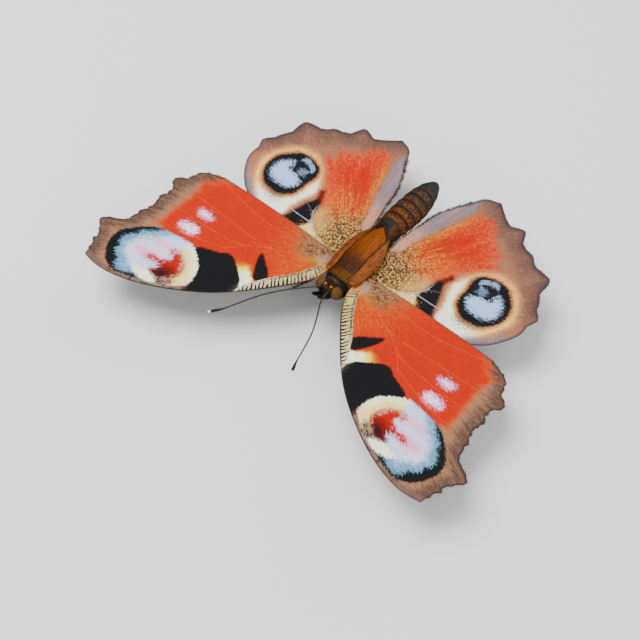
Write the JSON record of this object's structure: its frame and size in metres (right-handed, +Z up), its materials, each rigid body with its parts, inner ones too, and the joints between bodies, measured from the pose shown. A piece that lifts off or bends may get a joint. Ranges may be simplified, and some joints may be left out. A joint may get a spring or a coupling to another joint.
{
  "type": "peacock butterfly",
  "caption": "Life-size peacock butterfly with its wings spread flat, standing on its walking legs as a still museum model.",
  "frame": {"origin": "on the floor under the middle of the insect, at the bottom centre of its box", "axes": "+X to the butterfly's left wing tip, -Y the way it faces, +Z up"},
  "size_m": [0.055, 0.0394, 0.0115],
  "materials": {
    "forewing_scales": "matte scales, red-orange with a many-coloured eyespot above, brown-black and finely lined below",
    "hindwing_scales": "matte scales, brown and red with a blue eyespot above, brown-black and finely lined below",
    "fur_gold": "short silky hair, golden brown",
    "fur_sienna": "long flat scales, sienna brown",
    "fur_brown": "short hair, dark brown speckled orange-brown",
    "black_scales": "matte black scales",
    "antenna": "black with fine pale rings and a black club tipped pale",
    "eye": "glossy brown",
    "tongue": "satin dark brown",
    "leg": "dark brown, finely haired"
  },
  "bodies": {
    "root": {"head": "fur_brown", "eye_left": "eye", "eye_right": "eye", "palp_left": "black_scales", "palp_right": "black_scales", "antenna_left": "antenna", "antenna_right": "antenna", "proboscis": "tongue", "neck": "black_scales", "collar": "fur_gold", "thorax": "fur_gold", "tegula_left": "fur_sienna", "tegula_right": "fur_sienna", "abdomen": "fur_brown", "forewing_left": "forewing_scales", "forewing_right": "forewing_scales", "hindwing_left": "hindwing_scales", "hindwing_right": "hindwing_scales", "foreleg_left": "leg", "foreleg_right": "leg", "midleg_left": "leg", "midleg_right": "leg", "hindleg_left": "leg", "hindleg_right": "leg"}
  },
  "joints": []
}
